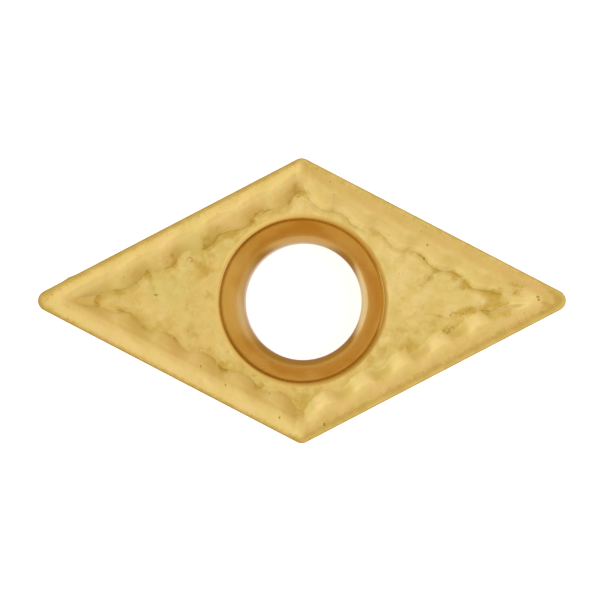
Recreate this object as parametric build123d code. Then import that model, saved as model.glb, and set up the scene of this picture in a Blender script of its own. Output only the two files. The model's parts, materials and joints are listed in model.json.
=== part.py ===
from build123d import *

import os
from math import asin, atan2, cos, radians, sin, tan, tau

# A 55-degree rhombic turning insert: one pressed, sintered and coated carbide body.
#
# Frame: millimetres, origin at the centre of the seating face, on the axis of the screw hole.
# +Z is up, from the seating face to the cutting edges, and +X runs along the long diagonal.
#
# The plan is drawn in its first quadrant and mirrored. A point there is given by its distance
# along the cutting edge, from the sharp corner that the edge would make at the nose, and its
# distance inwards from that edge.

# Body
INSCRIBED_CIRCLE = 9.525  # the circle that touches the four cutting edges
THICKNESS = 3.97  # seating face to cutting edge
NOSE_ANGLE = 55.0  # included angle of the two cutting corners
NOSE_RADIUS = 0.4
RELIEF_ANGLE = 7.0  # the flanks lean inwards by this on their way down
SEAT_NOSE_RADIUS = 0.12  # what the nose radius tapers to at the seating face
SEAT_CHAMFER = 0.1

# Cutting edge
HONE_RADIUS = 0.05
LAND_WIDTH = 0.15
LAND_DROP = 0.02  # the land falls outwards by this

# Chip groove, from the cutting edge inwards and down
GROOVE_OFFSET = 0.71
GROOVE_DEPTH = 0.16
GROOVE_RADIUS = 0.4
GROOVE_CORNER_RADII = (0.15, 0.5)  # at the noses, at the blunt corners

# Centre land, inside the scalloped wall that curls the chip
PLATEAU_OFFSET = 1.27
PLATEAU_RISE = 0.08  # above the cutting edge
PLATEAU_CORNER_RADII = (0.17, 0.25)
PLATEAU_NOSE_LEAN = 8.0  # past the last bulge its outline leans outwards, on its way to the nose
LIP = 0.03  # width and height of the steep lip round the centre land

# Scallops of the wall: equal hollows and bulges, each a circular arc in plan
SCALLOP_PITCH = 1.61
HOLLOWS_PER_SIDE = 5
LAST_HOLLOW = 10.15  # middle of the hollow nearest to the blunt corner, along the edge
GROOVE_WAVE = 0.064  # how far a bulge stands out from the mean line, at the groove
PLATEAU_WAVE = 0.105  # and at the centre land

# Screw hole
HOLE_DIAMETER = 4.4
HOLE_CHAMFER = 0.1
SINK_ANGLE = 60.0  # included angle of the conical seat for the screw's head
MOUTH_DIAMETER = 6.45
MOUTH_RADIUS = 0.2
THROAT_RADIUS = 1.9  # blends the cone into the hole

HALF_NOSE = radians(NOSE_ANGLE / 2)
HALF_BLUNT = radians(90) - HALF_NOSE
EDGE_LENGTH = INSCRIBED_CIRCLE / sin(radians(NOSE_ANGLE))
EDGE_HEIGHT = THICKNESS - LAND_DROP
GROOVE_HEIGHT = THICKNESS - GROOVE_DEPTH
TOP = THICKNESS + PLATEAU_RISE
TOLERANCE = 1e-5


def place(along, inwards):
    """The point of the plan's first quadrant, which has the nose on +X and the blunt corner on +Y."""
    nose_corner = INSCRIBED_CIRCLE / 2 / sin(HALF_NOSE)
    x = nose_corner - along * cos(HALF_NOSE) - inwards * sin(HALF_NOSE)
    y = along * sin(HALF_NOSE) - inwards * cos(HALF_NOSE)
    return Vector(x, y)


def wall_joints():
    """Distances along a cutting edge where the scalloped wall's arcs meet, from the blunt corner on."""
    chord = SCALLOP_PITCH / 2
    crossings = [LAST_HOLLOW + chord / 2 - i * chord for i in range(2 * HOLLOWS_PER_SIDE)]
    return [*crossings, crossings[-1] - chord / 2]


def closed_outline(quarter, nose_radius, blunt_radius):
    """One quadrant's edges mirrored into a face, with its four corners rounded."""
    half = quarter + mirror(quarter, Plane.XZ)
    face = make_face(half + mirror(half, Plane.YZ))
    face = fillet([v for v in face.vertices() if abs(v.Y) < TOLERANCE], nose_radius)
    return fillet([v for v in face.vertices() if abs(v.X) < TOLERANCE], blunt_radius)


def straight_outline(inwards, corner_radius, joints=()):
    """The outline parallel to the cutting edges, divided at the joints."""
    blunt_tip = EDGE_LENGTH - inwards / tan(HALF_BLUNT)
    nose_tip = inwards / tan(HALF_NOSE)
    points = [place(along, inwards) for along in (blunt_tip, *joints, nose_tip)]
    quarter = Curve() + [Line(a, b) for a, b in zip(points, points[1:])]
    return closed_outline(quarter, corner_radius, corner_radius)


def scalloped_outline(inwards, wave, corner_radii, nose_lean=0.0):
    """The outline of tangent arcs that wave about a line parallel to the cutting edges."""
    *crossings, last_crest = wall_joints()
    chord = SCALLOP_PITCH / 2
    arc_radius = chord**2 / (8 * wave) + wave / 2
    lean = asin(chord / 2 / arc_radius)  # of the arcs where they cross the mean line

    # straight on from the last hollow to the diagonal through the blunt corner
    room = (EDGE_LENGTH - crossings[0]) * tan(HALF_BLUNT) - inwards
    run = room / (tan(HALF_BLUNT) - tan(lean))
    edges = [Line(place(crossings[0] + run, inwards - run * tan(lean)), place(crossings[0], inwards))]

    # hollows and bulges in turn
    for i, (start, end) in enumerate(zip(crossings, crossings[1:])):
        bow = -wave if i % 2 else wave
        middle = place((start + end) / 2, inwards + bow)
        edges.append(ThreePointArc(place(start, inwards), middle, place(end, inwards)))

    # the last bulge as far as its arc leans by nose_lean, then straight on to the long diagonal
    along = last_crest + arc_radius * sin(nose_lean)
    crest = inwards - wave + arc_radius * (1 - cos(nose_lean))
    nose_tip = (crest - along * tan(nose_lean)) / (tan(HALF_NOSE) - tan(nose_lean))
    edges.append(TangentArc(place(crossings[-1], inwards), place(along, crest), tangent=edges[-1] % 1))
    edges.append(Line(place(along, crest), place(nose_tip, nose_tip * tan(HALF_NOSE))))
    return closed_outline(Curve() + edges, *corner_radii)


def rim_outline(joints=()):
    """The inner line of the land along the cutting edges."""
    return straight_outline(LAND_WIDTH, NOSE_RADIUS - LAND_WIDTH, joints)


def groove_outline():
    """The lowest line of the chip groove."""
    return scalloped_outline(GROOVE_OFFSET, GROOVE_WAVE, GROOVE_CORNER_RADII)


def plateau_outline(outwards=0.0):
    """The edge of the centre land, or a line outside it."""
    nose_lean = radians(PLATEAU_NOSE_LEAN)
    return scalloped_outline(PLATEAU_OFFSET - outwards, PLATEAU_WAVE, PLATEAU_CORNER_RADII, nose_lean)


def edges_around(outline):
    """An outline's edges in their order round the Z axis, from between a nose and a side."""
    return sorted(outline.edges(), key=lambda e: (atan2(e.center().Y, e.center().X) + 0.1) % tau)


def wall(lower, upper):
    """The face between two edges: flat between lines, conical between arcs."""
    if lower.geom_type != GeomType.LINE:
        return Face.make_surface_from_curves(lower, upper)
    ends = [upper @ 1, upper @ 0]
    ends.sort(key=lambda point: (point - lower @ 1).length)
    return make_face(Polyline(lower @ 0, lower @ 1, *ends, close=True))


def blank():
    """The tapered rhombus with its chamfered foot and its land, closed by a flat top."""
    relief = tan(radians(RELIEF_ANGLE))
    seat = straight_outline(EDGE_HEIGHT * relief + SEAT_CHAMFER, SEAT_NOSE_RADIUS)
    foot = straight_outline((EDGE_HEIGHT - SEAT_CHAMFER) * relief, SEAT_NOSE_RADIUS)
    edge = straight_outline(0, NOSE_RADIUS)
    top = Pos(Z=THICKNESS) * rim_outline()
    levels = [seat, Pos(Z=SEAT_CHAMFER) * foot, Pos(Z=EDGE_HEIGHT) * edge, top]
    faces = [*seat.faces(), *top.faces()]
    for lower, upper in zip(levels, levels[1:]):
        faces += [wall(a, b) for a, b in zip(edges_around(lower), edges_around(upper))]
    return Solid(Shell(faces))


def basin():
    """The cutter of the rake faces, which slope from the land down to the groove."""
    levels = [Pos(Z=GROOVE_HEIGHT) * groove_outline(), Pos(Z=THICKNESS) * rim_outline(wall_joints())]
    return loft(levels, ruled=True)


def island():
    """The centre land on its scalloped wall."""
    lip = Pos(Z=TOP - LIP) * plateau_outline(outwards=LIP)
    return loft([Pos(Z=GROOVE_HEIGHT) * groove_outline(), lip, Pos(Z=TOP) * plateau_outline()], ruled=True)


def screw_hole():
    """The cutter of the hole: chamfer, cylinder, throat, cone and rounded mouth, turned about Z."""
    slope = radians(SINK_ANGLE / 2)
    hole_radius = HOLE_DIAMETER / 2
    mouth_radius = MOUTH_DIAMETER / 2
    setback = MOUTH_RADIUS * tan((radians(90) - slope) / 2)
    cone_top = Vector(mouth_radius - setback * (1 + sin(slope)), TOP - setback * cos(slope))
    cone_foot_radius = hole_radius + THROAT_RADIUS * (1 - cos(slope))
    cone_foot = Vector(cone_foot_radius, cone_top.Y - (cone_top.X - cone_foot_radius) / tan(slope))
    cylinder_top = Vector(hole_radius, cone_foot.Y - THROAT_RADIUS * sin(slope))
    foot = (hole_radius + HOLE_CHAMFER, 0)
    profile = Curve() + [
        Polyline((0, TOP), (0, 0), foot, (hole_radius, HOLE_CHAMFER), cylinder_top),
        TangentArc(cylinder_top, cone_foot, tangent=(0, 1)),
        Line(cone_foot, cone_top),
        TangentArc(cone_top, (mouth_radius, TOP), tangent=(sin(slope), cos(slope))),
        Line((mouth_radius, TOP), (0, TOP)),
    ]
    return revolve(Plane.XZ * make_face(profile), Axis.Z)


def ring_at(body, height):
    """The level edges of a body at one height."""
    level = [e for e in body.edges() if e.bounding_box().size.Z < TOLERANCE]
    return [e for e in level if abs(e.center().Z - height) < TOLERANCE]


def insert_body():
    """The whole insert."""
    body = blank() - basin() + island()
    body = fillet(ring_at(body, GROOVE_HEIGHT), GROOVE_RADIUS)
    body = fillet(ring_at(body, EDGE_HEIGHT), HONE_RADIUS)
    return body - screw_hole()


if __name__ == "__main__":
    os.makedirs("parts", exist_ok=True)
    export_step(insert_body(), "parts/insert_body.step")
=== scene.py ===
import json
import math

import bmesh
import bpy
import numpy as np
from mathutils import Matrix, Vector, kdtree, noise


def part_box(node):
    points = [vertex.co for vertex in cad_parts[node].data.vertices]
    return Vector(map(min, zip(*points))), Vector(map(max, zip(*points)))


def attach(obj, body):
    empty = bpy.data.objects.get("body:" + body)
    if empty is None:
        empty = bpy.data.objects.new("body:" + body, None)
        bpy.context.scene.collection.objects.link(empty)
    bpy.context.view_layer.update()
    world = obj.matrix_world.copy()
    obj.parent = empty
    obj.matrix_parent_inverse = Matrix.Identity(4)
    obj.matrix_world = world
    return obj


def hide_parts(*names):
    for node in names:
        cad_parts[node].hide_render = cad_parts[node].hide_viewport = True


bl_info = {
    "name": "Turning Insert",
    "version": (1, 0, 0),
    "blender": (4, 5, 0),
    "location": "View3D > Sidebar > Insert",
    "description": "Models a coated carbide turning insert, its finish and a plain studio",
    "category": "Object",
}

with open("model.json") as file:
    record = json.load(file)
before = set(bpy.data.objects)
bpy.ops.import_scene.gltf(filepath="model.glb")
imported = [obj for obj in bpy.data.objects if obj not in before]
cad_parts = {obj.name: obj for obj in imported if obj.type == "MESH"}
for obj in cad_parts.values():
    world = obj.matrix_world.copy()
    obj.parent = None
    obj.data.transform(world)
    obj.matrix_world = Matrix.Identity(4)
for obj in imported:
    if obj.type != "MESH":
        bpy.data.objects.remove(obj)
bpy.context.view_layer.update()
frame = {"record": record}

MM = 0.001
NODE = "insert_body"
MOUNTS = {mount["name"]: mount for mount in frame["record"]["mounts"]}
CAD_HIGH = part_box(NODE)[1]

# Steps of a quarter outline: round the nose, along to the first bulge, along the scallops,
# along to the blunt corner and round it. COLUMNS is the whole way round.
NOSE_STEPS = 14
NOSE_RUN_STEPS = 8
SCALLOP_STEPS = 138
BLUNT_RUN_STEPS = 10
BLUNT_STEPS = 10
QUARTER = NOSE_STEPS + NOSE_RUN_STEPS + SCALLOP_STEPS + BLUNT_RUN_STEPS + BLUNT_STEPS
COLUMNS = 4 * QUARTER

# Corner radii of the groove's lowest line and of the centre land, at the noses and at the blunt corners
GROOVE_CORNERS = (0.15 * MM, 0.5 * MM)
PLATEAU_CORNERS = (0.17 * MM, 0.25 * MM)

# The lip's profile, from its foot to its top: how far inwards of the centre land's edge and how far below
# its face, both as parts of the lip's size
LIP_PROFILE = ((-2.4, 1.3), (-1.4, 0.8), (-0.4, 0.33), (0.6, 0.0))

# How far the land's inner line and the bottom of the groove are rounded to either side
LAND_ROUNDING = 0.04 * MM
GROOVE_ROUNDING = 0.26 * MM

# How far outside the mouth of the hole the last ring of the centre land lies
BRIM = 0.02 * MM

# The bend from which an edge of the skin is shaded as a sharp one
SHARP_ANGLE = math.radians(25)

# How far below the centre land pits and the burr are found
MARKED_DEPTH = 0.4 * MM

# Stands for a distance from an edge, in millimetres, on faces that have nothing to do with that edge
FAR_OFF = -9.0

# Pits: place in plan and radius, in millimetres
PITS = (
    (8.78, 0.13, 0.06),
    (8.80, 0.03, 0.05),
    (4.54, 1.56, 0.06),
    (-0.83, -4.34, 0.05),
    (0.82, -4.61, 0.06),
    (-5.43, 0.21, 0.06),
    (-2.86, -3.14, 0.035),
    (-3.79, -2.45, 0.035),
    (-1.20, -3.47, 0.03),
    (-0.13, 3.87, 0.035),
    (1.04, 4.43, 0.03),
    (1.17, 3.94, 0.035),
    (4.44, 2.59, 0.03),
    (4.67, 2.07, 0.035),
    (3.53, -1.09, 0.03),
)

# Little craters with a dark rim: place in plan and radius, in millimetres
CRATERS = (
    (5.63, -0.54, 0.10),
    (5.37, -1.13, 0.11),
    (5.60, -1.03, 0.07),
    (-4.20, 1.51, 0.09),
)

# Stains of the coating: place in plan and reach, in millimetres, and strength
STAINS = (
    (7.09, 0.07, 0.45, 1.0),
    (7.86, 0.55, 0.40, 1.0),
    (8.30, 0.60, 0.35, 0.6),
    (9.05, -0.27, 0.32, 0.7),
    (6.27, 0.58, 0.25, 0.7),
    (5.74, 0.90, 0.32, 1.0),
    (5.05, 1.13, 0.30, 0.7),
    (4.62, 0.84, 0.35, 0.6),
    (5.63, -0.54, 0.20, 0.5),
    (5.10, -0.59, 0.18, 0.8),
    (5.37, -1.13, 0.26, 0.6),
    (4.93, -1.35, 0.20, 0.6),
    (6.20, -0.39, 0.32, 0.8),
    (6.90, -0.33, 0.22, 0.7),
    (7.60, -0.36, 0.32, 0.7),
    (7.42, 0.30, 0.28, 0.8),
    (3.74, 0.06, 0.22, 0.5),
    (3.96, -1.80, 0.35, 0.5),
    (-5.69, 0.93, 0.32, 0.8),
    (-4.75, 1.55, 0.32, 0.9),
    (-3.56, 2.23, 0.35, 0.8),
    (-2.66, 2.52, 0.34, 1.0),
    (-3.15, 2.74, 0.22, 0.7),
    (-1.59, 3.24, 0.28, 0.9),
    (-1.85, 2.92, 0.22, 0.7),
    (-3.74, 1.19, 0.45, 0.6),
    (-3.52, 0.34, 0.30, 0.5),
    (-7.66, -0.05, 0.30, 0.9),
    (-6.76, -0.35, 0.32, 0.9),
    (-6.76, 0.22, 0.22, 0.6),
    (-4.15, -1.20, 0.40, 0.5),
    (-2.96, -2.45, 0.22, 0.8),
    (-1.62, -3.29, 0.22, 0.7),
    (0.00, -3.66, 0.55, 0.5),
    (-0.05, -4.25, 0.36, 0.8),
    (-0.50, 3.70, 0.28, 0.6),
    (-0.03, 4.26, 0.42, 1.0),
)

# A burr on the cutting edge: place in plan, reach and height, in millimetres
BURR = (-8.63, 0.88, 0.14, 0.04)

# How far the outlines of pits and craters wander, and the width of a crater's rim, in millimetres
MARK_DRIFT = 0.07
CRATER_RIM = 0.06

# How strongly each mark covers the gold; the shade, the line among the lines and the seat line are painted
# shade
STAINS_SHOW = 0.6
SHADE_SHOWS = 0.26
LAND_SHOWS = 0.62
OUTER_LINE_SHOWS = 0.35
LINES_SHOW = 0.5
SEAT_LINE_SHOWS = 0.3
PITS_SHOW = 0.6

# Tint of the reflections at a grazing angle in the hole, and in its throat a darker one that is painted shade
GRAZING_COPPER = (1, 0.94, 0.88, 1)
GRAZING_THROAT = (0.5, 0.27, 0.22, 1)

# Height of the fine bumps of the coating, and how much of them the smoother hole is without
BUMP_HEIGHT = 0.008 * MM
SMOOTH_IN_HOLE = 0.8

# The floor, just under the insert, and how much each kind of ray sees it lifted towards plain white
FLOOR_SIZE = 0.6
FLOOR_GAP = 0.02 * MM
PAPER = (0.8, 0.8, 0.8, 1)
PAPER_LIFT = (("Is Camera Ray", 0.75), ("Is Glossy Ray", 0.35), ("Is Transmission Ray", 0.35))

# The tint of the surroundings turns between these parts of the way from the dim side to the bright one
TINT_TURN = (-0.5, 0.4)

# The lamp, in metres and watts
SOFT_BOX_PLACE = (0.202, -0.258, 0.568)
SOFT_BOX_SIZE = 0.31
SOFT_BOX_POWER = 0.034

# The camera's sensor in millimetres, the reach of its sight in metres, and the point it aims at in plan
SENSOR = 36
CLIP_START = 0.01
CLIP_END = 10
VIEW_CENTRE = (-0.06 * MM, 0.022 * MM)


class InsertSizes(bpy.types.PropertyGroup):
    """Sizes of the insert. Offsets are measured inwards from the cutting edge."""

    inscribed_circle: bpy.props.FloatProperty(
        name="Inscribed Circle",
        description="Diameter of the circle that touches the four cutting edges",
        default=9.525 * MM,
        unit="LENGTH",
        precision=5,
    )
    nose_angle: bpy.props.FloatProperty(
        name="Nose Angle",
        description="Included angle of the two cutting corners",
        default=math.radians(55),
        subtype="ANGLE",
    )
    nose_radius: bpy.props.FloatProperty(
        name="Nose Radius",
        description="Radius of the corners at the cutting edge",
        default=0.4 * MM,
        unit="LENGTH",
        precision=5,
    )
    relief_angle: bpy.props.FloatProperty(
        name="Relief Angle",
        description="How far the flanks lean inwards on their way down",
        default=math.radians(7),
        subtype="ANGLE",
    )
    seat_nose_radius: bpy.props.FloatProperty(
        name="Seat Nose Radius",
        description="What the nose radius tapers to at the seating face",
        default=0.12 * MM,
        unit="LENGTH",
        precision=5,
    )
    foot_chamfer: bpy.props.FloatProperty(
        name="Foot Chamfer",
        description="Chamfer round the seating face and round the foot of the hole",
        default=0.1 * MM,
        unit="LENGTH",
        precision=5,
    )
    hone: bpy.props.FloatProperty(
        name="Hone",
        description="Width of the rounding along the cutting edge",
        default=0.05 * MM,
        unit="LENGTH",
        precision=5,
    )
    land_width: bpy.props.FloatProperty(
        name="Land Width",
        description="Width of the strengthening land behind the cutting edge",
        default=0.15 * MM,
        unit="LENGTH",
        precision=5,
    )
    land_drop: bpy.props.FloatProperty(
        name="Land Drop",
        description="How far the land falls towards the cutting edge",
        default=0.02 * MM,
        unit="LENGTH",
        precision=5,
    )
    groove_offset: bpy.props.FloatProperty(
        name="Groove Offset",
        description="Mean offset of the lowest line of the chip groove",
        default=0.71 * MM,
        unit="LENGTH",
        precision=5,
    )
    groove_depth: bpy.props.FloatProperty(
        name="Groove Depth",
        description="Depth of the chip groove below the land",
        default=0.16 * MM,
        unit="LENGTH",
        precision=5,
    )
    plateau_offset: bpy.props.FloatProperty(
        name="Centre Land Offset",
        description="Mean offset of the edge of the centre land",
        default=1.27 * MM,
        unit="LENGTH",
        precision=5,
    )
    plateau_lean: bpy.props.FloatProperty(
        name="Centre Land Nose Lean",
        description="How far the edge of the centre land leans outwards between its last bulge and the nose",
        default=math.radians(8),
        subtype="ANGLE",
    )
    plateau_rise: bpy.props.FloatProperty(
        name="Centre Land Rise",
        description="Height of the centre land above the cutting edge's land",
        default=0.08 * MM,
        unit="LENGTH",
        precision=5,
    )
    lip: bpy.props.FloatProperty(
        name="Lip",
        description="Width and height of the steep lip round the centre land",
        default=0.03 * MM,
        unit="LENGTH",
        precision=5,
    )
    scallop_pitch: bpy.props.FloatProperty(
        name="Scallop Pitch",
        description="Distance from bulge to bulge along the wall of the groove",
        default=1.61 * MM,
        unit="LENGTH",
        precision=5,
    )
    hollows: bpy.props.IntProperty(
        name="Hollows",
        description="Hollows of the wall along each side",
        default=5,
        min=1,
    )
    last_hollow: bpy.props.FloatProperty(
        name="Last Hollow",
        description="Middle of the hollow nearest the blunt corner, along the edge from the nose",
        default=10.15 * MM,
        unit="LENGTH",
        precision=5,
    )
    groove_wave: bpy.props.FloatProperty(
        name="Groove Wave",
        description="How far the bulges stand out at the lowest line of the groove",
        default=0.064 * MM,
        unit="LENGTH",
        precision=5,
    )
    plateau_wave: bpy.props.FloatProperty(
        name="Centre Land Wave",
        description="How far the bulges stand out at the edge of the centre land",
        default=0.105 * MM,
        unit="LENGTH",
        precision=5,
    )
    sink_angle: bpy.props.FloatProperty(
        name="Sink Angle",
        description="Included angle of the conical seat for the screw's head",
        default=math.radians(60),
        subtype="ANGLE",
    )
    mouth_diameter: bpy.props.FloatProperty(
        name="Mouth Diameter",
        description="Diameter of the hole where it meets the centre land",
        default=6.45 * MM,
        unit="LENGTH",
        precision=5,
    )
    mouth_radius: bpy.props.FloatProperty(
        name="Mouth Radius",
        description="Rounding of the mouth of the hole",
        default=0.2 * MM,
        unit="LENGTH",
        precision=5,
    )
    throat_radius: bpy.props.FloatProperty(
        name="Throat Radius",
        description="Blend between the conical seat and the hole",
        default=1.9 * MM,
        unit="LENGTH",
        precision=5,
    )


class InsertFinish(bpy.types.PropertyGroup):
    """Colours of the coating and its marks, and of its painted highlights and painted shade."""

    gold: bpy.props.FloatVectorProperty(
        name="Gold",
        description="Main colour of the coating",
        default=(0.76, 0.545, 0.17),
        subtype="COLOR",
        min=0,
        max=1,
    )
    green_gold: bpy.props.FloatVectorProperty(
        name="Green Gold",
        description="Greener drifts of the coating, mostly on the centre land",
        default=(0.72, 0.555, 0.17),
        subtype="COLOR",
        min=0,
        max=1,
    )
    rose_gold: bpy.props.FloatVectorProperty(
        name="Rose Gold",
        description="Redder drifts of the coating, mostly in the groove",
        default=(0.80, 0.54, 0.20),
        subtype="COLOR",
        min=0,
        max=1,
    )
    # also the colour of painted highlights on the walls and in the groove
    pale_gold: bpy.props.FloatVectorProperty(
        name="Pale Gold",
        description="Paler patches of the coating, mostly at the back right",
        default=(0.84, 0.64, 0.25),
        subtype="COLOR",
        min=0,
        max=1,
    )
    # also the colour of the painted shade along the lip
    olive: bpy.props.FloatVectorProperty(
        name="Olive",
        description="Soft stains in the coating",
        default=(0.49, 0.285, 0.015),
        subtype="COLOR",
        min=0,
        max=1,
    )
    copper: bpy.props.FloatVectorProperty(
        name="Copper",
        description="Thicker, redder coating inside the hole",
        default=(0.80, 0.51, 0.135),
        subtype="COLOR",
        min=0,
        max=1,
    )
    # also the colour of painted highlights and glints in the hole
    light_copper: bpy.props.FloatVectorProperty(
        name="Light Copper",
        description="Coating in the hole where it is lighter",
        default=(0.95, 0.74, 0.34),
        subtype="COLOR",
        min=0,
        max=1,
    )
    # also the colour of painted shade on the walls and deep in the hole
    edge_brown_and_shade: bpy.props.FloatVectorProperty(
        name="Edge Brown",
        description="Darkened coating along the cutting edge and round the mouth of the hole",
        default=(0.50, 0.325, 0.05),
        subtype="COLOR",
        min=0,
        max=1,
    )
    # also the colour of painted shade in the throat, round the mouth, at the seat and along the lip
    stain_and_shade: bpy.props.FloatVectorProperty(
        name="Dark Stain",
        description="Brown of the creases, pits and the middles of stains",
        default=(0.36, 0.195, 0.012),
        subtype="COLOR",
        min=0,
        max=1,
    )
    roughness: bpy.props.FloatProperty(
        name="Roughness",
        description="Roughness of the smoothest coating",
        default=0.19,
        min=0,
        max=1,
    )


class InsertStudio(bpy.types.PropertyGroup):
    """Camera and light."""

    lens: bpy.props.FloatProperty(
        name="Focal Length",
        description="Focal length of the camera, in millimetres",
        default=400,
        min=1,
    )
    view_width: bpy.props.FloatProperty(
        name="View Width",
        description="Width of the picture at the height of the centre land",
        default=22.34 * MM,
        unit="LENGTH",
        precision=5,
    )
    lean_x: bpy.props.FloatProperty(
        name="Lean to the Right",
        description="How far the camera leans from straight above towards +X",
        default=math.radians(1.4),
        subtype="ANGLE",
    )
    lean_y: bpy.props.FloatProperty(
        name="Lean to the Front",
        description="How far the camera leans from straight above towards -Y",
        default=math.radians(0.8),
        subtype="ANGLE",
    )
    sky_low: bpy.props.FloatProperty(
        name="Low Sky",
        description="Brightness of the surroundings at the horizon",
        default=0.6,
        min=0,
    )
    sky_turn: bpy.props.FloatProperty(
        name="Sky Turn",
        description="Height on the unit sphere from which the surroundings have their full brightness",
        default=0.8,
        min=0.01,
        max=1,
    )
    sky_high: bpy.props.FloatProperty(
        name="High Sky",
        description="Brightness of the surroundings overhead",
        default=0.98,
        min=0,
    )
    window_side: bpy.props.FloatProperty(
        name="Window Side",
        description="Bearing of the bright side of the surroundings, anticlockwise from +X",
        default=math.radians(3),
        subtype="ANGLE",
    )
    window_light: bpy.props.FloatVectorProperty(
        name="Window Light",
        description="Tint of the surroundings on the bright side",
        default=(1.16, 1.20, 1.33),
        subtype="COLOR",
        min=0,
        soft_max=2,
    )
    far_side: bpy.props.FloatVectorProperty(
        name="Far Side",
        description="Tint of the surroundings on the dim side",
        default=(0.84, 0.74, 0.585),
        subtype="COLOR",
        min=0,
    )


# Outlines of the insert in plan


def plan_point(sizes, along, inwards):
    """Points of the quarter between the nose on +X and the blunt corner on +Y, from their distance
    along the cutting edge, starting at its sharp corner, and their distance inwards from it."""
    half = sizes.nose_angle / 2
    corner = sizes.inscribed_circle / 2 / math.sin(half)
    x = corner - along * math.cos(half) - inwards * math.sin(half)
    y = along * math.sin(half) - inwards * math.cos(half)
    return np.column_stack((x, y))


def arc(centre, radius, start, end, steps):
    """Points on an arc, without its last one."""
    angles = np.linspace(start, end, steps, endpoint=False)
    return np.column_stack((centre[0] + radius * np.cos(angles), centre[1] + radius * np.sin(angles)))


def scallop_radius(sizes, wave):
    """Radius of the wall's arcs."""
    chord = sizes.scallop_pitch / 2
    return chord**2 / (8 * wave) + wave / 2


def scallop(sizes, along, wave):
    """How far the wall is set inwards along its hollows, and outwards, below zero, on its bulges."""
    if wave == 0:
        return np.zeros_like(along)
    chord = sizes.scallop_pitch / 2
    first_bulge = sizes.last_hollow - (2 * sizes.hollows - 1) * chord
    radius = scallop_radius(sizes, wave)
    number = np.round((along - first_bulge) / chord)
    local = along - first_bulge - number * chord
    side = np.where(number % 2 == 0, -1.0, 1.0)
    return side * (np.sqrt(radius**2 - local**2) - radius + wave)


def outline(sizes, inwards, height, corner_radii, wave=0.0, nose_lean=0.0):
    """A ring of points round the insert, at an offset from the cutting edge and a height."""
    nose_radius, blunt_radius = corner_radii
    half = sizes.nose_angle / 2
    blunt = math.pi / 2 - half
    chord = sizes.scallop_pitch / 2
    first_bulge = sizes.last_hollow - (2 * sizes.hollows - 1) * chord
    last_crossing = sizes.last_hollow + chord / 2
    edge_length = sizes.inscribed_circle / math.sin(sizes.nose_angle)

    # round the nose, and straight on to where the first bulge's arc leans by nose_lean
    radius = scallop_radius(sizes, wave) if wave else 0.0
    leave = first_bulge + radius * math.sin(nose_lean)
    crest = inwards - wave + radius * (1 - math.cos(nose_lean))
    tip_along = (crest - leave * math.tan(nose_lean)) / (math.tan(half) - math.tan(nose_lean))
    tip_x = sizes.inscribed_circle / 2 / math.sin(half) - tip_along / math.cos(half)
    tip_half = half - nose_lean
    nose_centre = (tip_x - nose_radius / math.sin(tip_half), 0)
    nose = arc(nose_centre, nose_radius, 0, math.pi / 2 - tip_half, NOSE_STEPS)
    touch = tip_along + nose_radius / math.tan(tip_half) * math.cos(nose_lean)
    along = np.linspace(touch, leave, NOSE_RUN_STEPS, endpoint=False)
    nose_run = plan_point(sizes, along, crest - (leave - along) * math.tan(nose_lean))

    # along the scallops
    along = np.linspace(leave, last_crossing, SCALLOP_STEPS, endpoint=False)
    scallops = plan_point(sizes, along, inwards + scallop(sizes, along, wave))

    # straight on, leaning outwards, and round the blunt corner
    lean = math.asin(chord / 2 / radius) if wave else 0.0
    room = (edge_length - last_crossing) * math.tan(blunt) - inwards
    run = room / (math.tan(blunt) - math.tan(lean))
    straight = run - blunt_radius / math.tan(blunt - lean) * math.cos(lean)
    step = np.linspace(0, straight, BLUNT_RUN_STEPS, endpoint=False)
    blunt_run = plan_point(sizes, last_crossing + step, inwards - step * math.tan(lean))
    tip = plan_point(sizes, np.array([last_crossing + run]), inwards - run * math.tan(lean))[0]
    centre = (0, tip[1] - blunt_radius / math.sin(blunt - lean))
    corner = arc(centre, blunt_radius, blunt - lean, math.pi / 2, BLUNT_STEPS)

    quarter = np.vstack((nose, nose_run, scallops, blunt_run, corner, [(0, centre[1] + blunt_radius)]))
    upper = np.vstack((quarter, quarter[-2::-1] * (-1, 1)))
    ring = np.vstack((upper, upper[-2:0:-1] * (1, -1)))
    return np.column_stack((ring, np.full(COLUMNS, height)))


def plateau_outline(sizes, inwards, height):
    """A ring of points at the edge of the centre land, or a little inside or outside it."""
    offset = sizes.plateau_offset + inwards
    return outline(sizes, offset, height, PLATEAU_CORNERS, sizes.plateau_wave, sizes.plateau_lean)


def circle(radius, height, guide):
    """A ring of points on a circle about Z, each in the direction of its guide point."""
    facing = guide[:, :2] / np.linalg.norm(guide[:, :2], axis=1, keepdims=True)
    return np.column_stack((radius * facing, np.full(COLUMNS, height)))


# Modelling by rings: a ring of edges is extruded from level to level, then rounded and divided


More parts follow.
